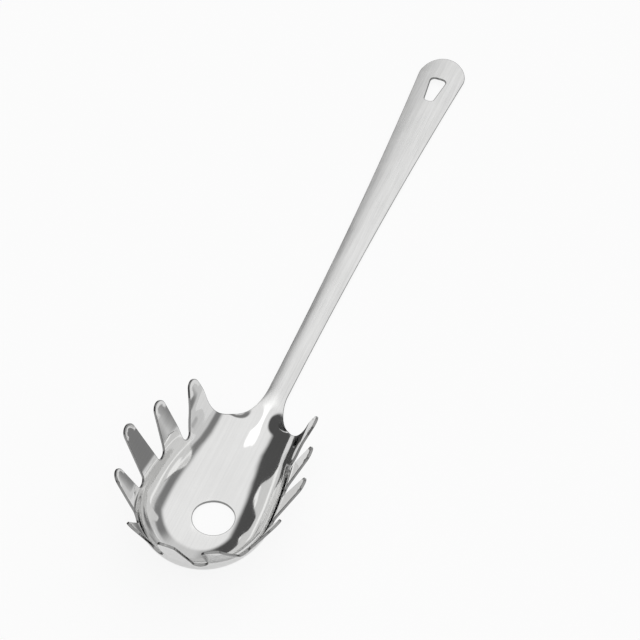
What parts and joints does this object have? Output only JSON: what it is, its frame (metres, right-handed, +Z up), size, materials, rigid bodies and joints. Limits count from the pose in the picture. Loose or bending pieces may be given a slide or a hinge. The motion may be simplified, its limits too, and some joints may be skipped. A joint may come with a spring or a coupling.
{
  "type": "spaghetti server",
  "caption": "One-piece pressed steel spaghetti server: an oval bowl ringed with tall rounded fingers, a round hole in its floor and a long crowned handle with a hanging hole.",
  "frame": {"origin": "centre of the round hole in the bowl's floor, on the floor's underside, where it lies on the table", "axes": "+X from the bowl along the handle to its hanging hole, +Y to the bowl's side, +Z up out of the bowl"},
  "size_m": [0.3153, 0.0708, 0.0392],
  "materials": {
    "steel": "stainless steel, mirror polished in the bowl and fingers, fine satin brushing on the handle"
  },
  "bodies": {
    "root": {"server": "steel"}
  },
  "joints": []
}
